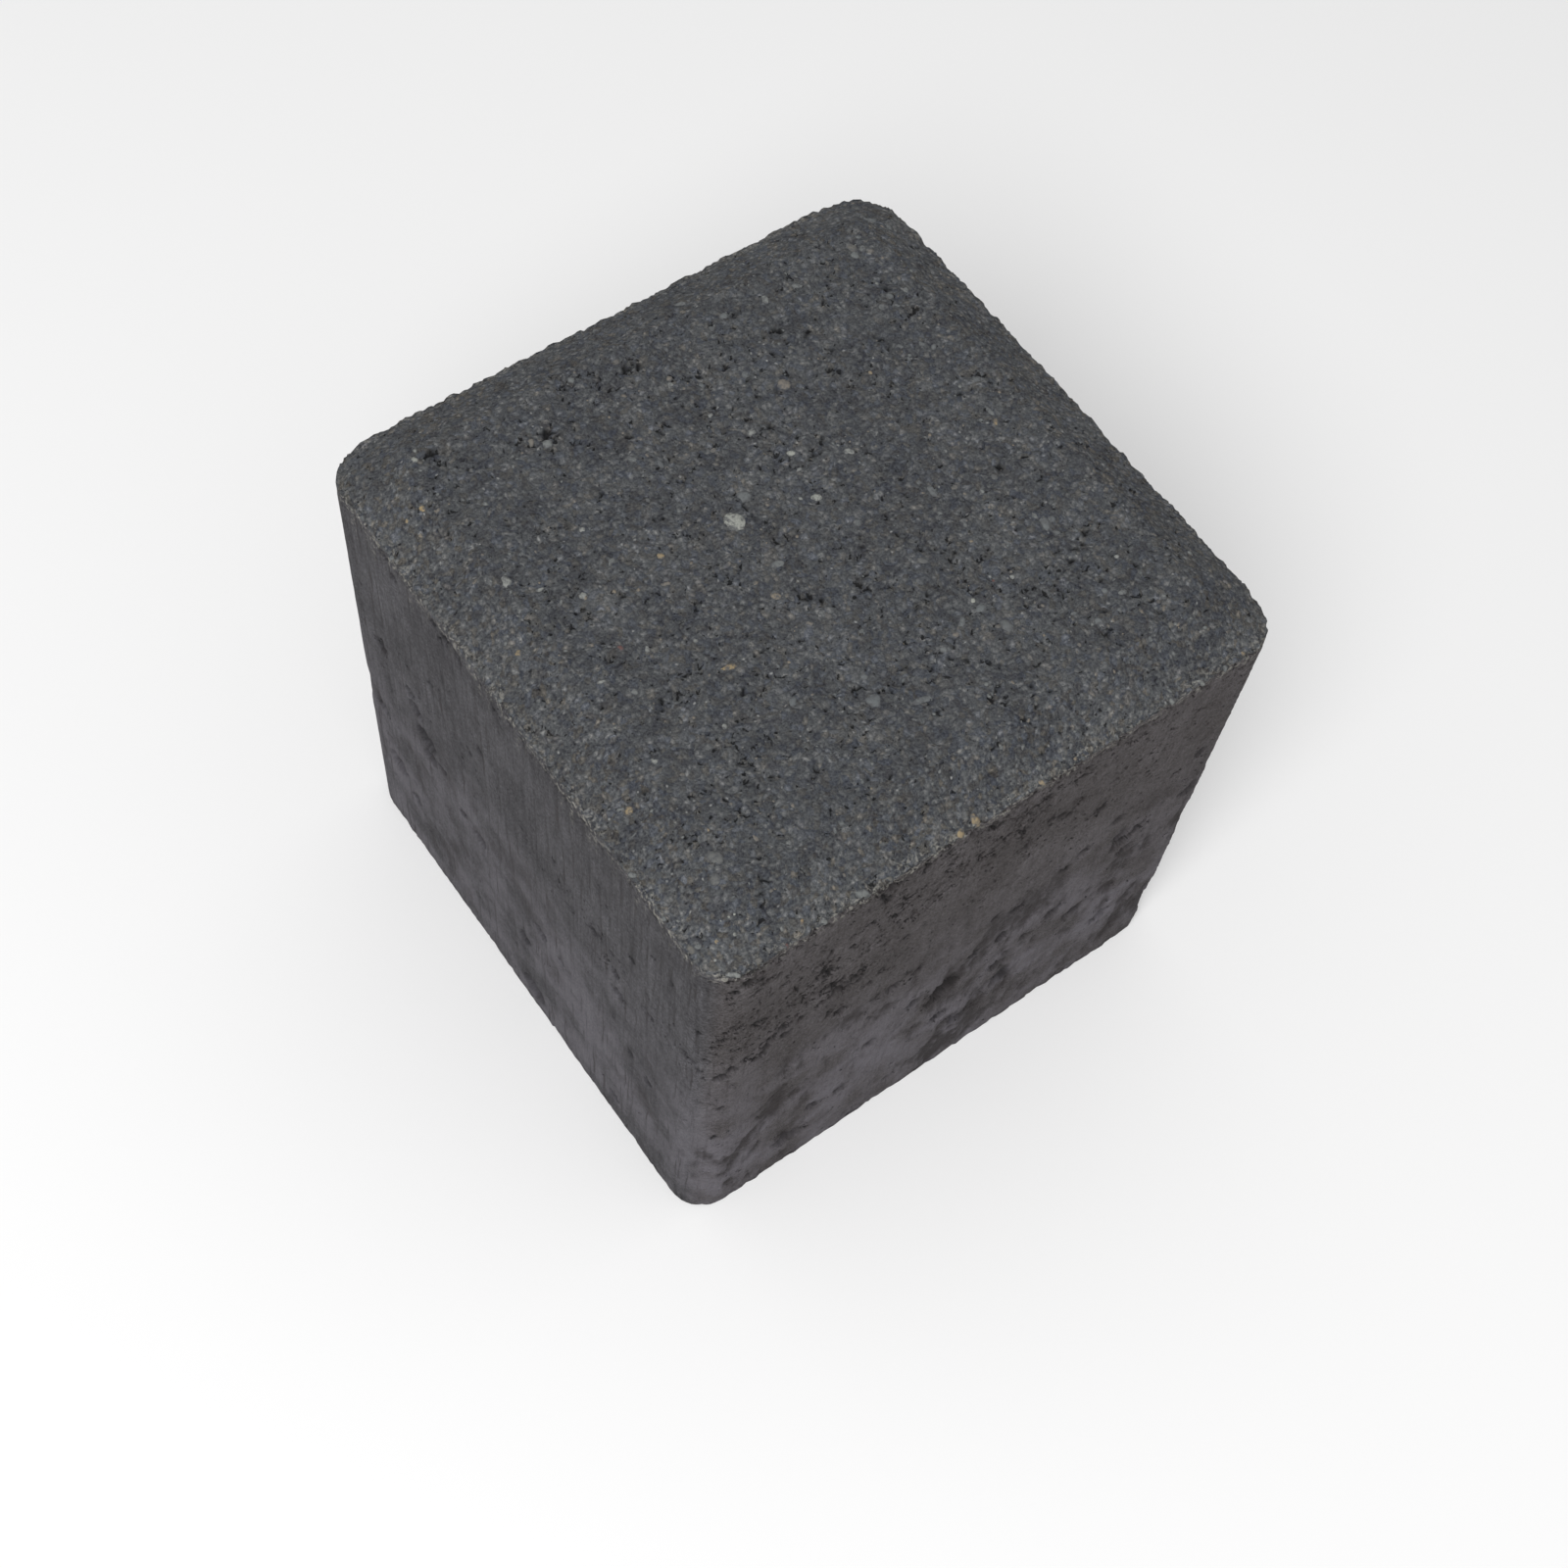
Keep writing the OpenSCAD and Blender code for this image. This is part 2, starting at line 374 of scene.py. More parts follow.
# Open pits and short cracks of the walking face, by radius: x, y
faceHoles = {
    .25: [(-43.5, -22), (-41.8, -22.8), (-43, -23.3), (-30, 19.2), (-28.4, 18.6), (6.2, 22.2),
        (4.8, 22.3), (3.4, 22.6), (15.8, -33.8), (1.2, -42.2), (2, -42.2), (3.5, -7.9)],
    .3: [(-25.5, -10), (-17, -13.7), (-10.5, -26.2), (-4.4, -31.9), (-1.8, -34.8), (-32.5, -33.5),
        (-33.5, -32.8), (-42.5, -22.3), (-7.3, -42.2), (-30, -29), (-26.5, -30.7), (-39, -44.5),
        (-11, -36.5), (-29.5, 18.8), (-29, 18.5), (-26, 22.4), (-34.2, 33.8), (-33.2, 34.2),
        (-35.7, 30.8), (-34.5, 22.8), (-34, 4), (-18, 7), (11.7, 20.8), (9.9, 15.8), (11.3, 11.5),
        (18.3, 5.6), (21.2, 23.6), (7.2, -36.1), (25.5, -25), (11.8, -30.2), (12.3, -30.6), (.4, -43),
        (.7, -43.8), (13, -40.3), (25.6, -37.2), (4.5, -7.2), (21.2, -4.8), (27.3, -28.2), (5.3, -28),
        (19.8, -29.2), (6.7, -46.5)],
    .35: [(-35, -14.5), (-31, -11.5), (-27, -10.5), (-9, -21.4), (-13.2, -40.2), (-17, -38), (-31, -36.3),
        (-27.5, -30.5), (-37, -42), (-9, -39.8), (-10.5, 16.5), (-15.2, 13.2), (-5, 5.5), (-2.8, 21.4),
        (-1.8, 21.2), (-7.7, 24.3), (-42.3, 26.7), (-31, 24.4), (-7.5, 26.3), (-33.3, 5.2), (-28, 4.5),
        (-25.5, 2.2), (14.8, 26.3), (17.3, 28), (11, 21.2), (9, 16.8), (10.3, 11.2), (5.6, 16.8),
        (.2, 20), (22.7, 7.4), (2.7, 29.9), (33, -11.8), (33.8, -11.7), (7.8, -32.2), (15.5, -34.8),
        (27, -34.9), (13.5, -14.2), (14.5, -14.2), (15.3, -15.5), (9, -41.4), (14, -47), (12.3, -40.3),
        (24.6, -37.6), (20, -32.2), (5.5, -6.2), (27.3, -19.1), (18.2, -18.2), (21.4, -5.7), (30, -30.2),
        (25.3, -40.5), (33.5, -39.5)],
    .4: [(-23, -17.5), (-18, -13.5), (-7, -8), (-5.3, -31.5), (-14, -39.5), (-24, -32.5), (-21.7, -32.7),
        (-2.7, -34.7), (-8, -41.6), (-38.5, -43.5), (-17, 12.8), (-37.3, 37), (-20.6, 20.2),
        (-27.5, 12.5), (14.2, 31.4), (15, 30.5), (14.4, 27.2), (7.5, 22.3), (12.3, 11.7), (9.5, 9),
        (15, 5.5), (29.5, 19.2), (32.4, 32), (36, 30.2), (33.1, 6.3), (8.6, 25.3), (6.5, 28.9),
        (4.6, -37.3), (13.5, -22), (27.6, -23.3), (5.3, -30.2), (23.7, -29), (11.5, -10.8), (10.5, -8.3),
        (1.2, -11.3), (1.3, -13.8), (6.8, -42), (.2, -24.4), (5, -19.7), (25, -17.3), (35.7, -31),
        (7.7, -18.4), (1, -28.8)],
    .45: [(-33, -12.5), (-28, -11), (-5, -11), (-8, -21), (-6, -28.5), (-2.5, -26.5), (-10, 15.7),
        (-16, 12), (-12, 26.3), (11, 28.2), (19.3, 5), (26.3, 31.5), (22, 23.3), (1.4, 30.8),
        (5.6, -36.4), (6.4, -36.3), (30, -24), (31.5, -24.3), (8.7, -33.6), (10.7, -38.7)],
    .5: [(-7, -10), (-9.7, -25.6), (-20.7, 32.4), (-5.3, 7.3), (16.5, 31), (29.6, 21.2), (36, 28.3),
        (33, -22.7), (4, -29.2), (11.5, -12.2)],
    .55: [(-34, -13.5), (13.8, 36.6), (29.7, -7.1)],
    .6: [(-3.7, 36), (-37.2, 39), (21, 28), (8.7, 9.2), (28.5, -25.5), (.8, -12.3)],
    .8: [(-21.7, 33.2), (-5.5, 37), (17.4, 30.7)],
}
# Small air holes of the near side, by radius and depth: x, z
nearHoles = {
    (.3, .5): [(-36.5, 93.3)],
    (.35, .5): [(-36.2, 92), (-33.7, 89.5), (-35.7, 85), (-37.5, 84), (-9.2, 88.2), (-34.8, 93.4)],
    (.35, .6): [(-38.9, 92.6)],
    (.4, .6): [(-38, 82), (-35, 84), (-15, 92.2), (-11.7, 93.2), (-6, 92), (-39.5, 86.5), (-29.7, 83.2),
        (-39.7, 80.7), (-30.2, 72.4), (-28.4, 70), (-40.3, 92.6)],
    (.4, .7): [(-44.6, 93.6)],
    (.45, .6): [(-23.5, 83.7), (-10.2, 85.2), (-31.2, 80.3), (-31, 77.8)],
    (.5, .6): [(9.5, 79.2), (13.5, 76.6), (-45.5, 76), (-42, 73.5), (-46.5, 33), (-46.5, 45),
        (-18.7, 81.2), (-25.5, 78.7), (-15.2, 69.5), (-12.2, 69.7)],
    (.5, .7): [(-30, 79), (-43, 85), (-41, 87), (-19, 92), (-15.2, 90.7), (-11, 91.8), (-42, 88.5),
        (-30.4, 69.6), (-45.8, 93.4), (-43.2, 93.3), (-41.8, 93)],
    (.5, .8): [(-30.5, 81.5), (-30, 74.6)],
    (.6, .7): [(3.8, 82), (-19, 72.5), (11.5, 78), (-47, 72.2)],
    (.6, .8): [(-22.3, 90.6), (-2, 90), (-43, 61.5), (-33.5, 63.5), (-46, 88), (-29.4, 75.2),
        (-29.9, 64.6), (-41.7, 59.8), (-21, 60), (-18.7, 62.5)],
    (.7, .8): [(6.6, 88.8)],
    (.7, .9): [(-27.3, 68.6), (-23, 64.7), (-27.8, 57.5), (-12.5, 53)],
    (.8, .8): [(6.3, 75)],
    (.8, .9): [(-46.5, 58.2)],
    (.8, 1): [(-21.3, 88.7), (-3.4, 91), (-30.5, 76.3), (-25.3, 64.4), (-24.2, 66.6), (-35.8, 61),
        (-18.5, 51.5), (18.5, 53.5), (-39, 63.5)],
    (.9, 1): [(-7, 92.8), (-37.2, 64), (-40, 59), (-47, 57.3), (4.5, 52)],
    (.9, 1.2): [(-28.6, 64.6)],
    (1, .9): [(20.6, 70.6)],
    (1, 1): [(-44.4, 90.3), (-45, 60)],
    (1, 1.1): [(9.5, 49.5), (2, 41), (14, 34)],
    (1, 1.2): [(-21.6, 92.6)],
    (1, 1.3): [(-26.8, 66.2)],
    (1.1, 1.1): [(42, 67)],
    (1.1, 1.3): [(-15, 51), (33, 51)],
    (1.2, 1.2): [(-17, 32), (-21.6, 18.4)],
    (1.2, 1.3): [(-9, 37)],
    (1.2, 1.4): [(1.5, 17)],
    (1.3, 1.2): [(19, 36.5)],
    (1.3, 1.3): [(9, 28.7)],
    (1.3, 1.5): [(29.5, 53)],
    (1.4, 1.3): [(43, 54)],
    (1.6, 1.8): [(-4, 31.5)],
}
# Small air holes of the left side, by radius and depth: y, z
leftHoles = {
    (.4, .6): [(-36, 80)],
    (.5, .6): [(-24.5, 76)],
    (.5, .8): [(-47.5, 57)],
    (.6, .6): [(12, 66), (-11, 68)],
    (.6, .8): [(17.5, 90.5), (-40.6, 79.7), (-46.5, 73), (-48, 69), (-47.5, 64)],
    (.6, .9): [(-44, 62.5), (-45.5, 61.5), (-46.8, 59.5)],
    (.7, .8): [(-31.3, 70), (-23, 63), (-36, 59)],
    (.8, .7): [(9, 71), (22.5, 71)],
    (.8, .8): [(3.4, 91)],
    (.8, 1): [(19, 92.4), (12.5, 91.5)],
    (.9, 1): [(31.9, 93), (16, 91.8), (-27, 57), (-12, 33.5), (-31, 35.3)],
    (.9, 1.2): [(30, 90)],
    (1, 1): [(16.5, 39)],
    (1, 1.1): [(-36, 33)],
    (1.1, 1.3): [(22.5, 44.8)],
    (1.4, 1): [(30, 58)],
    (1.4, 1.2): [(-27, 7.5)],
    (1.6, .9): [(38, 61)],
}
# Main air holes of the torn sides, as shares of the flat run, the shoulder height, width and depth
tornAirHoles = [
    (.35, .52, .75, .9), (.37, .47, .6, .85), (-.03, .36, 1, .8), (.28, .32, .65, .8),
    (-.02, .23, .55, .8), (.04, .15, .7, .9), (.13, .22, .75, .6), (-.36, .11, .85, 1),
    (.38, .2, .7, .6), (-.45, .65, .45, .7), (.31, .64, .45, .65), (.24, .59, .45, .7),
    (.09, .43, .5, .7), (-.31, .2, .45, .55), (-.12, .54, .4, .65), (-.29, .59, .45, .7),
]
# And of the drawn sides
drawnAirHoles = [
    (-.33, .57, .75, .55), (-.305, .51, .9, .75), (-.295, .46, .6, .95), (-.44, .24, .85, .7),
    (-.38, .19, .45, .6), (.03, .055, 1, .9), (.32, .54, .5, .7), (-.13, .4, .55, .65),
    (.07, .355, .55, .6), (.01, .24, .55, .6), (-.47, .4, .55, .6), (.24, .65, .4, .45),
]
cornerCore = sideAt + blockSizes["Corner Radius"] / mm
shoulderZ = (blockSize[2] - blockSizes["Chamfer Depth"]) / mm


def sideDepth(along):
    # How far out the side stands at a place along it, where the upright corner rounds it off
    past = max(0.0, cornerCore - along)
    radius = blockSizes["Corner Radius"] / mm
    return cornerCore - math.sqrt(max(0.0, radius * radius - past * past))


def faceLevel(x, y):
    # The height of the stamped face at a place, which falls away over the chamfer
    turn = blockSizes["Turn Radius"] / mm
    reach = -sideAt - turn
    inset = turn - math.hypot(max(0.0, abs(x) - reach), max(0.0, abs(y) - reach))
    share = max(0.0, 1 - inset * mm / blockSizes["Chamfer Width"])
    return topZ - share * blockSizes["Chamfer Depth"] / mm


def airHoleRows(shares, place):
    # The frame's own air holes on one side and, turned half round, on the side opposite
    rows = []
    for along, up, wide, deep in shares:
        across = -2 * cornerCore * along
        for way in (1, -1):
            rows.append((*place(way * across, way * sideAt), shoulderZ * up,
                         airHoleWidth / 2 * wide, airHoleDepth * deep))
    return rows


holeRows = [(x, y, faceLevel(x, y), r, pitLeastDepth + pitDepthShare * r)
            for r in faceHoles for x, y in faceHoles[r]]
holeRows += [(x, sideDepth(x), z, r * nearSpread, d) for r, d in nearHoles for x, z in nearHoles[r, d]]
holeRows += [(sideDepth(y), y, z, r, d) for r, d in leftHoles for y, z in leftHoles[r, d]]
holeRows += airHoleRows(tornAirHoles, lambda across, out: (across, out))
holeRows += airHoleRows(drawnAirHoles, lambda across, out: (out, -across))
# Narrow holes are painted black inside with painted shade, and wide ones let light in, so they get less of it
holeRows = [(*row, min(0.95, 0.35 + 0.4 / row[3])) for row in holeRows]
holes = pointMesh("Holes", holeRows, ("radius", "depth", "shade"))

tree, given = startTree("PressedBlock", blockSizes)
add = partial(addNode, tree)

# The plan: a square whose corners are rounded by pushing the grid onto an arc
size = given["Block Size"]
steps = add("VectorMath.DIVIDE", size, given["Grid Spacing"])
countX, countY, countZ = add("SeparateXYZ", steps).outputs
cube = add("GeometryNodeMeshCube", {"Size": size, "Vertices X": countX, "Vertices Y": countY,
                                    "Vertices Z": add("Math.MULTIPLY", countZ, 0.8)})
position = add("GeometryNodeInputPosition")
positionZ = add("SeparateXYZ", position).outputs["Z"]
sizeZ = add("SeparateXYZ", size).outputs["Z"]
upright = add("Math.ADD", add("Math.DIVIDE", positionZ, sizeZ), 0.5)
flat = add("VectorMath.MULTIPLY", position, (1, 1, 0))
half = add("VectorMath.MULTIPLY", size, (0.5, 0.5, 0))


def clampPlan(vector, inset):
    # The nearest point of the rectangle that lies the given distance inside the block's plan
    cut = add("VectorMath.SUBTRACT", half, inset)
    limit = add("VectorMath.MULTIPLY", cut, (1, 1, 0))
    opposite = add("VectorMath.SCALE", limit, -1.0)
    below = add("VectorMath.MINIMUM", vector, limit)
    return add("VectorMath.MAXIMUM", below, opposite)


core = clampPlan(flat, given["Corner Radius"])
outward = add("VectorMath.SUBTRACT", flat, core)
spreadX, spreadY, _ = add("SeparateXYZ", add("VectorMath.ABSOLUTE", outward)).outputs
reach = add("Math.MAXIMUM", spreadX, spreadY)
arm = add("VectorMath.SCALE", add("VectorMath.NORMALIZE", outward), reach)
plan = add("VectorMath.ADD", core, arm)
fromEdge = add("Math.SUBTRACT", given["Corner Radius"], reach)

# The chamfer falls with the distance in from the side, and turns the corners as a cone
turnCore = clampPlan(plan, given["Turn Radius"])
fromTurn = add("VectorMath.DISTANCE", plan, turnCore).outputs["Value"]
inset = add("Math.SUBTRACT", given["Turn Radius"], fromTurn)
slopeLeft = add("Math.SUBTRACT", 1.0, add("Math.DIVIDE", inset, given["Chamfer Width"]))
slope = add("Math.MULTIPLY", slopeLeft, given["Chamfer Depth"])
drop = add("Math.SMOOTH_MAX", slope, 0.0, given["Arris Blend"])
faceHeight = add("Math.SUBTRACT", sizeZ, drop)
planX, planY, _ = add("SeparateXYZ", plan).outputs
formed = add("CombineXYZ", planX, planY, add("Math.MULTIPLY", faceHeight, upright))
block = cube
for label, value in (("upright", upright), ("inset", inset), ("fromEdge", fromEdge)):
    block = add("GeometryNodeStoreNamedAttribute", {"Geometry": block, "Name": label, "Value": value})
block = add("GeometryNodeSetPosition", {"Geometry": block, "Position": formed})

# Which face a point belongs to: the stamped face, the flat of it, the bed or a side
upright, inset, fromEdge = (
    add("GeometryNodeInputNamedAttribute", label) for label in ("upright", "inset", "fromEdge"))
rest = add("GeometryNodeInputPosition")
restX, _, restZ = add("SeparateXYZ", rest).outputs
onTop = add("Math.GREATER_THAN", upright, 0.9995)
onBed = add("Math.LESS_THAN", upright, 0.0005)
onSide = chain(add, "Math.SUBTRACT", 1.0, onTop, onBed)
flatStart = add("Math.SUBTRACT", given["Chamfer Width"], 0.6 * mm)
flatEnd = add("Math.ADD", given["Chamfer Width"], 0.8 * mm)
onFlat = add("MapRange.SMOOTHSTEP", inset, flatStart, flatEnd)
faceAmount = add("MapRange", onFlat, 0, 1, 0.6, 1.0)
stampAmount = add("Math.MULTIPLY", faceAmount, onTop)
bedAmount = add("Math.MULTIPLY", onBed, 0.8)
openAmount = add("Math.ADD", stampAmount, bedAmount)

# The two sides that face along Y tore as the block left the mould, and the other two slid clean
farX, farY, _ = add("SeparateXYZ", add("VectorMath.ABSOLUTE", rest)).outputs
sideways = add("Math.SUBTRACT", farY, farX)
torn = add("MapRange.SMOOTHSTEP", sideways, -3 * mm, 2 * mm)


def shaken(cell, swing):
    # Every place moved about by a noise of this cell, up to half of this swing
    noise = add("TexNoise", rest, 1 / cell, 2.0)
    centred = add("VectorMath.SUBTRACT", noise.outputs["Color"], (0.5, 0.5, 0.5))
    return add("VectorMath.ADD", rest, add("VectorMath.SCALE", centred, swing))


# Lumps of coated sand, warped so that no two are alike
warped = shaken(2.6 * mm, 2.4 * mm)
lumpScale = 1 / mix["lumpCell"]
lumps = add("TexVoronoi", warped, lumpScale).outputs["Distance"]
lumpDepth = add("Math.MULTIPLY", add("Math.POWER", lumps, 2.0), given["Lump Depth"])
sands = add("TexNoise", rest, add("Math.DIVIDE", 1.0, given["Sand Size"]), 2.0, 0.7)
sandKeep = add("Math.MAXIMUM", add("Math.SUBTRACT", 0.72, sands), 0.0)
sandDepth = add("Math.MULTIPLY_ADD", sandKeep, given["Sand Depth"], lumpDepth)

# The listed pits and air holes, with ragged rims
ragged = shaken(1.1 * mm, 2.8 * mm)
nearest = add("GeometryNodeSampleNearest", {"Geometry": given["Geometry"], "Sample Position": ragged})
holeCentre = add("GeometryNodeSampleIndex", {"Geometry": given["Geometry"], "Index": nearest,
                                             "Value": add("GeometryNodeInputPosition")},
                 data_type="FLOAT_VECTOR")
holeRadius, holeDepth, holeShade = (
    add("GeometryNodeSampleIndex", {"Geometry": given["Geometry"], "Index": nearest,
                                    "Value": add("GeometryNodeInputNamedAttribute", label)})
    for label in ("radius", "depth", "shade"))
fromHole = add("VectorMath.DISTANCE", ragged, holeCentre).outputs["Value"]
holeReach = add("Math.DIVIDE", fromHole, holeRadius)
holeShape = add("MapRange.SMOOTHSTEP", holeReach, 1.15 * mm, 0.55 * mm)
holeRelief = add("Math.MULTIPLY", holeShape, add("Math.MULTIPLY", holeDepth, mm))
# The painted shade reaches up to the rim, so that a hole seen steeply from above still looks deep
holeInk = add("MapRange", holeReach, 1.2 * mm, 0.85 * mm)
holeDark = add("Math.MULTIPLY", holeInk, holeShade)
# Small pits crowd round them, most of all where the wall tore
crowdTorn = add("MapRange", torn, 0, 1, 0.02, 0.055)
holeCrowd = add("MapRange", holeReach, 2.6 * mm, 1.2 * mm, 0, crowdTorn)

# Pits drift together and gather round the lumps, and on the sides they follow the seam between
# the fine facing and the coarse base and the line below the shoulder
drift = add("TexNoise", rest, 1 / mix["driftSize"], 3.0, 0.6)
driftCentred = add("Math.SUBTRACT", drift, 0.5)
lumpEdge = add("TexVoronoi.DISTANCE_TO_EDGE", warped, lumpScale)
nearSeam = add("MapRange", lumpEdge, 0.18, 0.03, -0.02, 0.055)
driftCrowd = add("Math.MULTIPLY_ADD", driftCentred, 0.3, nearSeam)
smoothFace = add("Math.MULTIPLY_ADD", onFlat, 0.015, -0.015)
faceCrowd = add("Math.ADD", driftCrowd, smoothFace)
seamRise = add("Math.MULTIPLY_ADD", restX, -0.45, restZ)
seamShake = add("Math.MULTIPLY_ADD", driftCentred, 60 * mm, seamRise)
seamFar = add("Math.ABSOLUTE", add("Math.SUBTRACT", seamShake, 87 * mm))
seamBand = add("MapRange", seamFar, 9 * mm, 1 * mm, 0, 0.09)
rimBand = add("MapRange", restZ, 90.5 * mm, 93 * mm, 0, 0.05)
bands = add("Math.MAXIMUM", seamBand, rimBand)
upperPits = add("MapRange", restZ, 52 * mm, 74 * mm, 0.0, 0.04)
sideLevel = add("MapRange", torn, 0, 1, -0.035, upperPits)
sideBands = add("Math.MULTIPLY_ADD", driftCentred, 0.25, sideLevel)
sideCrowd = add("Math.ADD", bands, sideBands)
evenCrowd = add("Mix.FLOAT", onTop, sideCrowd, faceCrowd)
crowd = add("Math.ADD", evenCrowd, holeCrowd)
facePitShare = raggedPits(add, warped, mix["facePit"], crowd)
openDepth = add("Math.MULTIPLY_ADD", facePitShare, given["Pit Depth"], sandDepth)
openRelief = add("Math.MULTIPLY", openDepth, openAmount)

# A gentle unevenness over everything but the bed
waves = add("TexNoise", rest, 1 / mix["waveSize"], 2.0)
waveLow = add("Math.MAXIMUM", add("Math.SUBTRACT", waves, 0.3), 0.0)
notBed = add("Math.SUBTRACT", 1.0, onBed)
waveDepth = chain(add, "Math.MULTIPLY", waveLow, given["Wave Depth"], notBed)

# The sides: upright lines from the mould wall, tears and pits
dragPlace = add("VectorMath.MULTIPLY", rest, mix["dragSpread"])
drag = add("TexNoise", dragPlace, add("Math.DIVIDE", 1.0, given["Drag Width"]), 2.0, 0.6)
dragKeep = add("Math.MAXIMUM", add("Math.SUBTRACT", 0.68, drag), 0.0)
dragDepth = add("Math.MULTIPLY", dragKeep, given["Drag Depth"])
tearPlace = add("VectorMath.MULTIPLY", warped, mix["tearSpread"])
sidePitShare = raggedPits(add, tearPlace, mix["sidePit"], crowd)
sidePitDepth = add("Math.MULTIPLY_ADD", sidePitShare, given["Torn Depth"], dragDepth)
tearing = add("Math.MULTIPLY", sandKeep, torn)
sideSand = add("Math.MULTIPLY_ADD", tearing, given["Sand Depth"], sidePitDepth)

# Lower down the coarse base lets the wall tear out shallow hollows, in clusters of 15 mm
mottlePlace = add("VectorMath.MULTIPLY", rest, (1, 1, 0.55))
mottleNoise = add("TexNoise", mottlePlace, add("Math.DIVIDE", 1.0, given["Mottle Size"]), 4.0, 0.65)
clusters = add("TexNoise", rest, 1 / mix["clusterSize"], 1.0)
lean = add("Math.MULTIPLY", restX, torn)
leanPull = add("Math.MULTIPLY_ADD", lean, 1.5, mottleNoise)
mottlePull = add("Math.MULTIPLY_ADD", clusters, 0.75, leanPull)
mottleHigh = add("MapRange.SMOOTHSTEP", mottlePull, 0.86, 1.1)
mottleLow = add("MapRange", restZ, 72 * mm, 45 * mm)
mottleTorn = add("MapRange", torn, 0, 1, 0.6, 1.15)
# This share also paints these hollows dark with painted shade
mottle = chain(add, "Math.MULTIPLY", mottleHigh, mottleLow, mottleTorn, onSide)
mottled = add("Math.MULTIPLY_ADD", mottle, given["Mottle Depth"], sideSand)
sideRelief = add("Math.MULTIPLY", mottled, onSide)

# Voids of the coarse base open on the bed
voids = add("TexVoronoi", warped, add("Math.DIVIDE", 1.0, given["Void Cell"]))
voidTone = add("SeparateXYZ", voids.outputs["Color"])
voidRadius = add("MapRange", voidTone, 0.66, 0.91, 0, 0.32)
voidInner = add("Math.MULTIPLY", voidRadius, 0.3)
voidHole = add("MapRange.SMOOTHSTEP", voids.outputs["Distance"], voidRadius, voidInner)
voidThere = add("Math.GREATER_THAN", voidRadius, 0.02)
voidShare = chain(add, "Math.MULTIPLY", voidHole, voidThere, onBed)
voidRelief = add("Math.MULTIPLY", voidShare, given["Void Depth"])
# The voids are painted dark: painted shade in them
voidDark = add("Math.MULTIPLY", voidShare, 0.8)

# The shoulder under the chamfer crumbles, with slots below it, painted dark with painted shade, and a thin
# burr above
sideFall = add("Math.MULTIPLY", add("Math.SUBTRACT", 1.0, upright), sizeZ)
topRun = add("Math.MULTIPLY", fromEdge, onTop)
fromShoulder = add("Math.ADD", sideFall, topRun)
nibbleNear = add("MapRange.SMOOTHSTEP", fromShoulder, 1.5 * mm, 0.0)
nibbleNoise = add("TexNoise", rest, 1 / mix["nibbleSize"], 3.0, 0.65)
nibblePick = add("MapRange", nibbleNoise, 0.45, 0.72)
nibbleDepth = chain(add, "Math.MULTIPLY", nibbleNear, nibblePick, given["Nibble Depth"])
slotNear = add("MapRange", sideFall, 3.1 * mm, 2.5 * mm)
slotUpper = add("Math.GREATER_THAN", sideFall, 1.7 * mm)
slotPick = add("MapRange", nibbleNoise, 0.49, 0.4)
slotTorn = add("MapRange", torn, 0, 1, 0.55, 0.95)
slot = chain(add, "Math.MULTIPLY", slotNear, slotUpper, slotPick, slotTorn, onSide)
burrNear = add("MapRange", topRun, 0.8 * mm, 0.1 * mm)
burrRise = chain(add, "Math.MULTIPLY", burrNear, onTop, slotPick, given["Burr Height"])

# Cement dust lies on the rim, a little over the edge, and thinly 5 mm up the chamfer
rubbedEdge = add("Math.MULTIPLY_ADD", topRun, 1.6, sideFall)
rubbedRim = add("MapRange", rubbedEdge, 2.8 * mm, 1.6 * mm)
rubbedFar = add("MapRange", topRun, 5 * mm, 1 * mm, 0, 0.15)
rubbedTop = add("Math.MULTIPLY", rubbedFar, onTop)
rubbedBoth = add("Math.MAXIMUM", rubbedRim, rubbedTop)
rubbedUneven = add("MapRange", drift, 0.4, 0.58, 0.35)
rubbedTorn = add("MapRange", torn, 0, 1, 0.7, 1.0)
rubbedSide = add("MapRange", onSide, 0, 1, 0.9, 2.0)
rubbed = chain(add, "Math.MULTIPLY", rubbedUneven, rubbedTorn, rubbedSide, rubbedBoth)

# The foot of the sides is a little chipped too
footNear = add("MapRange.SMOOTHSTEP", restZ, 1.6 * mm, 0.0)
footDepth = chain(add, "Math.MULTIPLY", footNear, onSide, nibblePick, given["Nibble Depth"], 0.5)

# Everything together, pushed in along the surface normal and held inside the frame's box
holesBoth = add("Math.MAXIMUM", holeRelief, voidRelief)
# The painted shade of holes and voids, handed to the colour
hollow = add("Math.MAXIMUM", holeDark, voidDark)
reliefFine = add("Math.ADD", openRelief, sideRelief)
reliefHoles = add("Math.MAXIMUM", reliefFine, holesBoth)
slotDepth = add("Math.MULTIPLY_ADD", slot, given["Slot Depth"], waveDepth)
relief = chain(add, "Math.ADD", reliefHoles, slotDepth, footDepth, nibbleDepth)
for label, value in (("hollow", hollow), ("stamped", onTop), ("flatFace", onFlat), ("rubbed", rubbed),
                     ("torn", torn), ("pitCrowd", crowd), ("mottle", mottle), ("slot", slot)):
    block = add("GeometryNodeStoreNamedAttribute", {"Geometry": block, "Name": label, "Value": value})
for label, value in (("restPlace", rest), ("grainPlace", warped)):
    block = add("GeometryNodeStoreNamedAttribute", {"Geometry": block, "Name": label, "Value": value},
                data_type="FLOAT_VECTOR")
push = add("VectorMath.SCALE", add("GeometryNodeInputNormal"), add("Math.MULTIPLY", relief, -1.0))
moved = add("VectorMath.ADD", rest, add("VectorMath.ADD", push, add("CombineXYZ", 0, 0, burrRise)))
lowest = add("VectorMath.SCALE", half, -1.0)
highest = add("VectorMath.MULTIPLY", size, (0.5, 0.5, 1))
heldLow = add("VectorMath.MAXIMUM", moved, lowest)
held = add("VectorMath.MINIMUM", heldLow, highest)
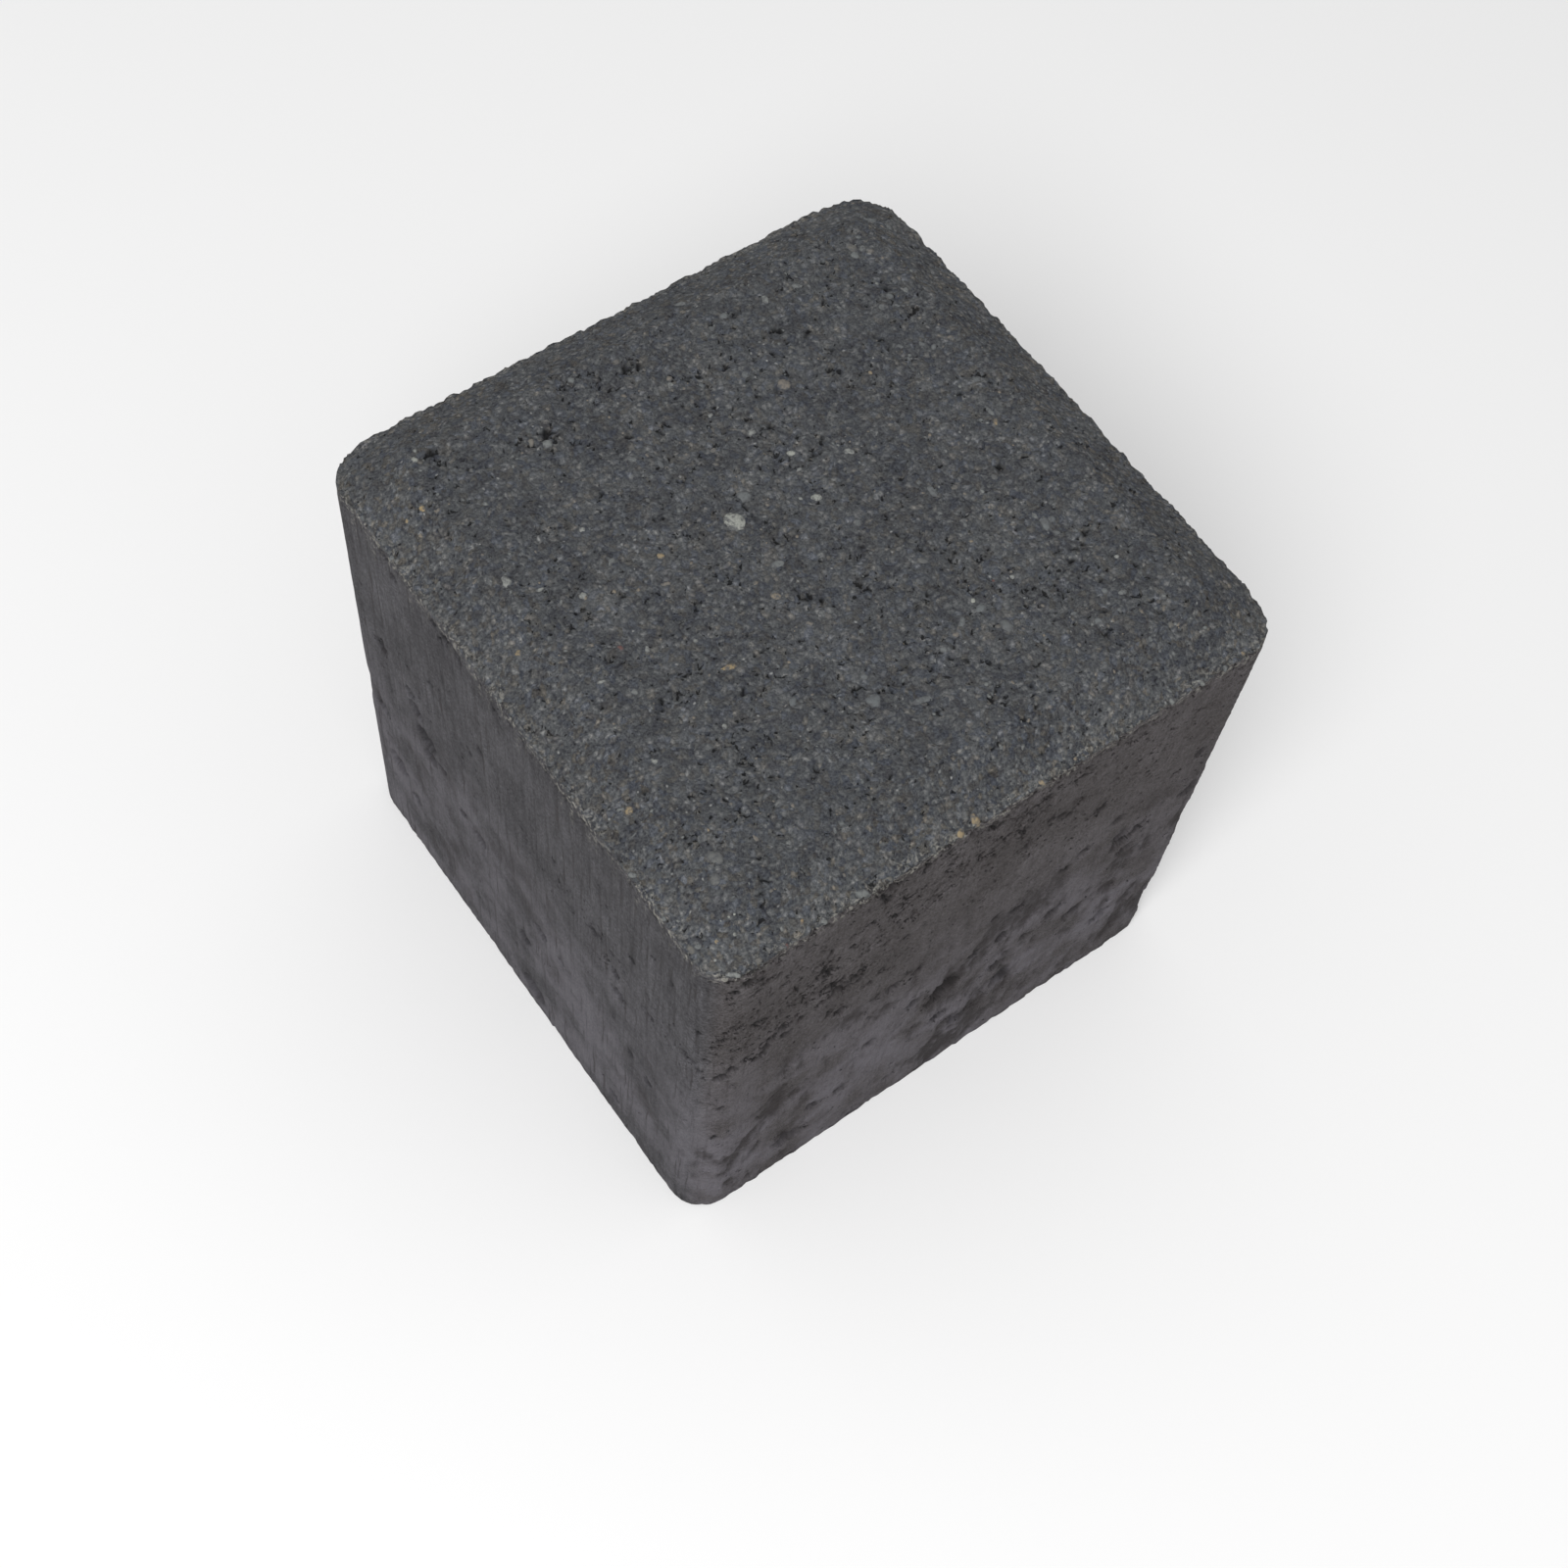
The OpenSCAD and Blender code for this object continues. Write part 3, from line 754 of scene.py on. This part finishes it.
block = add("GeometryNodeSetPosition", {"Geometry": block, "Position": held})
realized = add("GeometryNodeRealizeInstances", block)
dressed = add("GeometryNodeSetMaterial", {"Geometry": realized, "Material": concrete})
add("NodeGroupOutput", dressed)

paver = growMesh("paver_block", tree, blockSizes, holes, triangles=blockTriangles)
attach(paver, "root")
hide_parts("paver")

# Crushed stone showing through the cement: quartz, limestone and flint grains, dusty and dull
grainLook = {
    "ramp": ((0.0, "#999b94"), (0.12, "#898b88"), (0.25, "#717473"), (0.4, "#606466"), (0.5, "#66645f"),
             (0.6, "#78726a"), (0.8, "#9c8a68"), (1.0, "#624643")),
    "film": "#4e4f51",
    "filmSize": 0.6 * mm,
    "roughness": 0.7,
    "ior": 1.54,
    "specular": 0.3,
}
stone = bpy.data.materials.new("crushed quartz and limestone")
add = clearTree(stone)
kind, crown = (add("Attribute", attribute_name=label).outputs["Fac"] for label in ("stoneKind", "crown"))
stoneColor = add("ValToRGB", kind)
setStops(stoneColor, grainLook["ramp"])
stonePlace = add("TexCoord").outputs["Object"]
# Cement film creeps over the rim of each grain and lies on it in patches of 0.6 mm
film = add("TexNoise", stonePlace, 1 / grainLook["filmSize"], 3.0, 0.7)
bare = add("Math.MULTIPLY_ADD", film, 4.0, crown)
filmShare = add("MapRange", bare, 3.1, 2.2, 0.05, 0.95)
filmed = add("Mix.RGBA", filmShare, stoneColor, hexColor(grainLook["film"]))
stoneBump = add("Bump", {"Height": film, "Strength": 0.8, "Distance": 0.3 * mm})
surface = add("BsdfPrincipled",
              {"Base Color": filmed.outputs[2], "Roughness": grainLook["roughness"],
               "IOR": grainLook["ior"], "Specular IOR Level": grainLook["specular"], "Normal": stoneBump})
add("OutputMaterial", surface)

# Grains that stand out on the walking face: x, y, half width, half length, turn in degrees, kind
# Kind runs from 0 white, 0.25 pale grey, 0.4 grey and 0.6 cream to 0.8 ochre and 1 red brown
faceGrains = [
    (-7.5, 6, 1.55, 1.8, 20, 0), (-46.5, -48.8, .45, 1, 54, .15), (-40.5, -35.8, .8, 1.2, 20, .45),
    (-42.2, -38.2, .7, .9, 0, .45), (-39.5, 39.6, .5, .6, 0, 0), (-39.1, 40.6, .3, .7, -20, .15),
    (-40, 15, .6, 1.4, -15, .1), (-22.3, 31.8, .8, .8, 0, .25), (-24.4, 32.8, .5, .5, 0, .55),
    (-32.3, 7.3, .5, .6, 40, .1), (-19.8, 7.1, .35, .6, 10, .75), (-44.3, 5.6, .4, .5, 0, .8),
    (-43.1, 32.5, .35, .9, 10, .8), (-45.4, 32.9, .3, .5, -30, .75), (-45.2, 29.4, .3, .45, 60, .65),
    (-21.8, 2.8, .35, .7, 70, .6), (-26.5, 16.5, .35, .4, 0, .1), (-26, 9.9, .3, .8, -60, .25),
    (-35.5, 8.3, .25, .9, -50, .2), (-19, 37, .4, .4, 0, .55), (-1.7, 31, .45, .5, 0, .15),
    (-1.2, 32, .35, .4, 0, .6), (-9, 25.6, .45, .5, 0, .5), (-11, 25.2, .4, .45, 30, .6),
    (-13.7, 22.8, .5, .9, 30, .3), (-15, 26, .3, .5, 50, .6), (-3.2, 17.7, .45, .45, 0, .55),
    (-13.3, 39.5, .5, .5, 0, .3), (-4.2, 8.9, .9, 1.1, 60, .35), (-10.9, 20, .4, .8, 0, .4),
    (-36.8, 11.5, .25, .5, 80, .1), (12.4, 22.1, 1, 1.1, 0, .6), (13, 24.4, .45, .45, 0, .5),
    (3.2, 17.4, .5, .65, 70, .1), (6, 11.4, .5, .6, 80, 0), (13.2, 7, .55, .85, 50, .1),
    (12.5, 8.9, .3, .35, 0, .2), (4.4, 3.1, .6, .8, 60, 0), (2.4, 4.1, .25, .3, 0, .15),
    (5.2, 8.4, .25, .6, 80, .2), (2.7, 13.3, .25, .25, 0, .75), (24.5, 16.9, .4, .4, 0, .7),
    (19.5, 36.6, .5, 1, -20, .2), (25, 36.2, .5, .9, 70, .25), (12.3, 37.3, .7, .7, 0, .35),
    (9.5, 36.3, .45, .5, 0, .35), (8.7, 34.8, .4, .4, 0, .35), (36.5, 37.5, .7, .8, 0, .5),
    (37.8, 36.8, .5, .8, -30, .25), (36, 36.2, .6, .7, 0, .3), (38.6, 39, .4, .7, 70, .35),
    (43.5, 42, 1, 1.2, 0, .35), (45.2, 39.5, .6, .9, 0, .35), (9, 43.5, .5, .9, 60, .3),
    (8.7, 26.5, .6, .6, 0, .38), (33.4, 25.8, .5, .6, 0, .3), (35.5, 25, .4, .7, 50, .35),
    (35.8, 27, .6, .7, 0, .35), (38.3, 26.5, .4, .5, 0, .25), (34.3, 17, .45, .45, 0, .35),
    (35.2, 15.5, .3, .6, -40, .35), (30.8, 15.8, .3, .45, 0, .35), (38.5, 15.5, .45, .5, 0, .55),
    (24, 2.8, .35, .4, 0, .45), (35, 1.6, .3, .8, 0, .3), (33, 1.1, .3, .35, 0, .3),
    (42.3, 4.9, .35, .35, 0, .35), (37, 7.5, .6, .7, 0, .38), (0, 23.2, .4, .4, 0, .15),
    (2, 28.4, .4, .4, 0, .4), (22.3, -6.4, .4, .9, 80, .5), (28.2, -8, .4, .45, 0, .45),
    (25.3, -9, .35, .5, 0, .2), (19.3, -5.1, .8, 1, 0, .35), (18.5, -3, .4, .4, 0, .35),
    (7, -3.7, .55, .6, 0, .35), (34.4, -.5, .4, .6, -20, .8), (28.5, -.9, .3, .35, 0, .25),
    (25, -.6, .3, .35, 0, .2), (19.5, -12.3, .3, .4, 0, .25), (29, -16.5, .4, .6, 0, .25),
    (29.2, -18.4, .6, 1.2, -20, .35), (30.5, -18.4, .5, .6, 0, .4), (29.7, -20.8, .4, .5, 0, .3),
    (32.3, -21.5, .3, .7, 10, .38), (22.2, -16.6, .3, .35, 0, .45), (12.3, -22.9, .4, .55, 70, 0),
    (19.5, -22.9, .4, .6, 80, .1), (12.5, -24.7, .7, .8, 0, .38), (8.9, -25.2, .45, .9, -50, .35),
    (7, -26, .4, .5, 0, .6), (4.1, -27.1, .5, .7, 0, .3), (13, -28.2, .3, .5, 70, .55),
    (14, -29, .9, 1.1, 0, .42), (34.3, -28.5, .3, .4, -40, .1), (31, -33.6, .4, .7, 70, .25),
    (29, -32, .4, .5, 0, .35), (35.6, -37.2, .4, .45, 0, .2), (25, -35.4, .4, .6, 60, .35),
    (28.7, -35.7, .35, .4, 0, .35), (45.1, -33.1, .4, .4, 0, .2), (33.5, -41.5, .5, .6, 0, .5),
    (29.5, -41.7, .3, .4, 0, .35), (4, -46, .35, .45, 50, .4), (3.8, -47.8, .3, .35, 0, .3),
    (5.2, -47.8, .35, .35, 0, .25), (14.8, -47.6, .25, .4, 60, .25), (28.4, -48.3, .2, .45, 20, .25),
    (16.9, -21.7, .2, .3, 0, 1), (15.2, -21.9, .2, .25, 0, .9), (10.6, -13.8, .5, .7, 30, .45),
    (5.6, -34.8, .25, .3, 0, .25), (-6.7, -3.1, .7, 1, 70, .3), (-10.2, -7.4, .5, .8, 40, .65),
    (-22.3, -13.1, .4, 1.2, 75, .8), (-18.5, -4.5, .4, .6, 60, .45), (-19.5, -3, .3, .35, 0, .3),
    (-32.9, -2.4, .4, .5, 0, 1), (-29.8, -4.6, .3, .6, -30, .15), (-38, -5.5, .25, .6, 75, .1),
    (-35.3, -9, .4, .7, 20, .25), (-40.3, -12.3, .25, .3, 0, 0), (-39, -19.5, .35, .5, 50, .1),
    (-45.3, -22.9, .5, .6, 0, .75), (-36.9, -23.2, .25, .45, 60, .55), (-46.2, -21.8, .25, .7, 55, .25),
    (-28.1, -20.4, .25, .35, 0, .1), (-23.5, -7.2, .2, .3, 60, .1), (-18.2, -22.4, .5, .8, -50, .4),
    (-9, -8, .35, .4, 0, .5), (-5, -8.5, .3, .4, 0, .15), (-8.9, -13.3, .4, .6, 30, .6),
    (-6.5, -13.2, .35, .5, 60, .25), (-14.8, -14.2, .25, .3, 0, .1), (-3.1, -32, .6, 1.5, 75, .35),
    (-8.8, -28.2, 1.1, 1.2, 0, .38), (-7.8, -24.6, .4, .6, 60, .35), (-39, -32.1, .2, .3, 0, .7),
    (-34.2, -30.4, .25, .3, 0, .6), (-27.6, -35.2, .25, .35, 0, .6), (-34.5, -36.3, .4, .5, 0, .6),
    (-23.7, -40.8, .35, .45, 0, .3), (-15.6, -40.7, .25, .5, 30, .65), (-48.3, -43.2, .35, .45, 60, .3),
    (-46.2, -44.5, .3, .35, 0, .8), (-35.3, -48.4, .25, .5, -40, .85), (-31.1, -39.5, .25, .5, 70, .2),
    (-21.3, -16.9, .2, .3, 0, .45), (-43.3, -43, .2, .2, 0, 0), (-42.5, -43.2, .15, .2, 0, 0),
    (-43.7, -45, .15, .2, 0, 0), (-44.4, -42.8, .15, .2, 0, 0),
]
# Grains that show at the shoulder of the near and left sides: along, down from the shoulder, half
# width, half length, turn, kind
nearGrains = [
    (-9.4, -.6, .7, 1, 20, .75), (-6.6, -1.2, .7, 1.2, 15, .75), (4.4, -.6, .45, .8, 20, .7),
    (-43, -.8, .5, .7, 0, .5), (-26, -1, .8, 1.2, 60, .25), (-22, -.8, .6, .9, 60, .5),
    (-32.5, -.6, .45, .6, 0, .15), (-38.5, -.5, .35, .4, 0, 1), (28, -.5, .5, .6, 0, .2),
    (33.5, -.9, .6, 1.2, 30, .1), (42, -.8, .4, .6, 20, .7), (12, -.6, .4, .5, 0, .4),
    (18, -.4, .3, .5, 0, .35), (-14, -.5, .4, .6, 0, .45), (38, -.5, .4, .5, 0, .3),
]
leftGrains = [
    (-43, -.8, .5, .8, 0, .5), (-37.5, -.4, .3, .4, 0, .3), (-30, -.7, .4, .6, 30, .25),
    (-23, -.8, .4, .6, 0, .2), (-16, -.4, .3, .4, 0, .3), (-10, -.5, .35, .4, 0, .35),
    (2, -.4, .3, .4, 0, .3), (11, -.5, .3, .5, 0, .35), (21, -.4, .3, .4, 0, .45),
    (30, -.5, .35, .5, 0, .3), (38, -.4, .3, .4, 0, .35),
]
grainSpread = 1.15
grainRows = [(x, y, faceLevel(x, y), w * grainSpread, l * grainSpread, *rest)
             for x, y, w, l, *rest in faceGrains]
grainRows += [(x, sideAt - d * 0.6, shoulderZ - d * 0.4, *rest) for x, d, *rest in nearGrains]
grainRows += [(sideAt - d * 0.6, y, shoulderZ - d * 0.4, *rest) for y, d, *rest in leftGrains]
grainPoints = pointMesh("GrainPoints", grainRows, ("halfWidth", "halfLength", "turned", "stoneKind"))

grainSizes = {
    "Surface": paver,
    "Flatness": 0.5,
    "Sunk Share": 0.5,
    "Ragged": 0.3,
    "Scatter Density": 90000.0,
    "Scatter Smallest": 0.12 * mm,
    "Scatter Largest": 0.42 * mm,
    "Stretch Most": 1.9,
    "Place Seed": 11,
    "Width Seed": 5,
    "Stretch Seed": 7,
    "Turn Seed": 9,
}


def grainTree(name, sizes, listed):
    # Listed grains keep their own sizes, and scattered ones take theirs from the seed
    tree, given = startTree(name, sizes)
    add = partial(addNode, tree)
    surface = add("GeometryNodeObjectInfo", given["Surface"]).outputs["Geometry"]
    if listed:
        position = add("GeometryNodeInputPosition")
        normals = add("GeometryNodeSampleNearestSurface",
                      {"Mesh": surface, "Value": add("GeometryNodeInputNormal"),
                       "Sample Position": position}, data_type="FLOAT_VECTOR")
        touch = add("GeometryNodeProximity", {"Geometry": surface, "Sample Position": position},
                    target_element="FACES")
        cloud = add("GeometryNodeStoreNamedAttribute",
                    {"Geometry": given["Geometry"], "Name": "outward", "Value": normals},
                    data_type="FLOAT_VECTOR")
        points = add("GeometryNodeSetPosition", {"Geometry": cloud, "Position": touch})
        width, length, degrees = (add("GeometryNodeInputNamedAttribute", label)
                                  for label in ("halfWidth", "halfLength", "turned"))
        wide = add("Math.MULTIPLY", width, mm)
        long = add("Math.MULTIPLY", length, mm)
        spin = add("Math.RADIANS", degrees)
    else:
        stamped = add("GeometryNodeInputNamedAttribute", "stamped")
        density = add("Math.MULTIPLY", stamped, given["Scatter Density"])
        spots = add("GeometryNodeDistributePointsOnFaces",
                    {"Mesh": surface, "Density": density, "Seed": given["Place Seed"]})
        cloud = add("GeometryNodeStoreNamedAttribute",
                    {"Geometry": spots, "Name": "outward", "Value": spots.outputs["Normal"]},
                    data_type="FLOAT_VECTOR")
        chance = add("FunctionNodeRandomValue", {"Seed": given["Place Seed"]})
        kinds = add("MapRange", chance.outputs["Value"], 0, 1, 0.2, 0.66)
        points = add("GeometryNodeStoreNamedAttribute",
                     {"Geometry": cloud, "Name": "stoneKind", "Value": kinds})
        roll = add("FunctionNodeRandomValue", {"Seed": given["Width Seed"]})
        rare = add("Math.POWER", roll, 2.2)
        wide = add("MapRange", rare, 0, 1, given["Scatter Smallest"], given["Scatter Largest"])
        stretch = add("FunctionNodeRandomValue",
                      {"Min": 1.0, "Max": given["Stretch Most"], "Seed": given["Stretch Seed"]})
        long = add("Math.MULTIPLY", wide, stretch)
        spin = add("FunctionNodeRandomValue", {"Max": 6.28, "Seed": given["Turn Seed"]})
    least = add("Math.MINIMUM", wide, long)
    thick = add("Math.MULTIPLY", least, given["Flatness"])
    outward = add("GeometryNodeInputNamedAttribute", "outward", data_type="FLOAT_VECTOR")
    lowered = chain(add, "Math.MULTIPLY", thick, given["Sunk Share"], -1.0)
    offset = add("VectorMath.SCALE", outward, lowered)
    points = add("GeometryNodeSetPosition", {"Geometry": points, "Offset": offset})
    sizeBy = add("CombineXYZ", wide, long, thick)
    upright = add("FunctionNodeAlignRotationToVector", {"Vector": outward}, axis="Z", pivot_axis="AUTO")
    about = add("FunctionNodeAxisAngleToRotation", {"Axis": (0, 0, 1), "Angle": spin})
    facing = add("FunctionNodeRotateRotation", {"Rotation": upright, "Rotate By": about},
                 rotation_space="LOCAL")
    ball = add("GeometryNodeMeshIcoSphere", {"Radius": 1.0, "Subdivisions": 2 if listed else 1})
    ballParts = add("SeparateXYZ", add("GeometryNodeInputPosition"))
    seed = add("GeometryNodeStoreNamedAttribute",
               {"Geometry": ball, "Name": "crown", "Value": ballParts.outputs["Z"]})
    grains = add("GeometryNodeInstanceOnPoints",
                 {"Points": points, "Instance": seed, "Rotation": facing, "Scale": sizeBy})
    solid = add("GeometryNodeRealizeInstances", grains)

    # No two listed grains share an outline: each point moves in or out by a noise of 0.9 mm
    if listed:
        place = add("GeometryNodeInputPosition")
        chips = add("TexNoise", place, 1 / (0.9 * mm), 1.0)
        centred = add("Math.SUBTRACT", chips, 0.5)
        amount = chain(add, "Math.MULTIPLY", centred, given["Ragged"], 3 * mm)
        jolt = add("VectorMath.SCALE", add("GeometryNodeInputNormal"), amount)
        solid = add("GeometryNodeSetPosition", {"Geometry": solid, "Offset": jolt})
    dressed = add("GeometryNodeSetMaterial", {"Geometry": solid, "Material": stone})
    add("NodeGroupOutput", dressed)
    return tree


for name, listed, start in (("stone_grains", True, grainPoints),
                            ("sand_grains", False, bpy.data.meshes.new("Nothing"))):
    piece = growMesh(name, grainTree(name, grainSizes, listed), grainSizes, start)
    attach(piece, "root")

# Floor, world and softbox
studio = {
    "floorSeen": "#ffffff",
    "floorBounce": "#b4b3b0",
    "worldStrength": 0.5,
    "keyPower": 9.5,
    "keyPlace": (-0.61, -0.42, 1.0),
    "keySize": 0.7,
}


def seenShare(add):
    # One for rays that show a thing to the camera, straight or in a gloss, and nought for its bounce
    rays = add("LightPath").outputs
    seen = (rays[f"Is {label} Ray"] for label in ("Camera", "Glossy", "Transmission"))
    return chain(add, "Math.MAXIMUM", *seen)


floorPaint = bpy.data.materials.new("matt white paint")
add = clearTree(floorPaint)
floorColor = add("Mix.RGBA", seenShare(add),
                 hexColor(studio["floorBounce"]), hexColor(studio["floorSeen"]))
add("OutputMaterial", add("BsdfDiffuse", floorColor.outputs[2]))
floorMesh = bpy.data.meshes.new("Floor")
floorMesh.from_pydata([(-3, -3, 0), (3, -3, 0), (3, 3, 0), (-3, 3, 0)], [], [(0, 1, 2, 3)])
floorMesh.materials.append(floorPaint)
floor = bpy.data.objects.new("Floor", floorMesh)
scene.collection.objects.link(floor)

world = bpy.data.worlds.new("Studio")
scene.world = world
add = clearTree(world)
skyLevel = add("MapRange", seenShare(add), 0, 1, studio["worldStrength"], 1.0)
add("OutputWorld", add("Background", (1, 1, 1, 1), skyLevel))

keyLight = bpy.data.lights.new("Softbox", "AREA")
keyLight.shape = "DISK"
keyLight.size = studio["keySize"]
keyLight.energy = studio["keyPower"]
keyLamp = bpy.data.objects.new("Softbox", keyLight)
keyLamp.location = studio["keyPlace"]
keyLamp.rotation_mode = "QUATERNION"
keyLamp.rotation_quaternion = (Vector((0, 0, 0.05)) - keyLamp.location).to_track_quat("-Z", "Y")
scene.collection.objects.link(keyLamp)

scene.view_settings.view_transform = "Standard"
print("studio set")
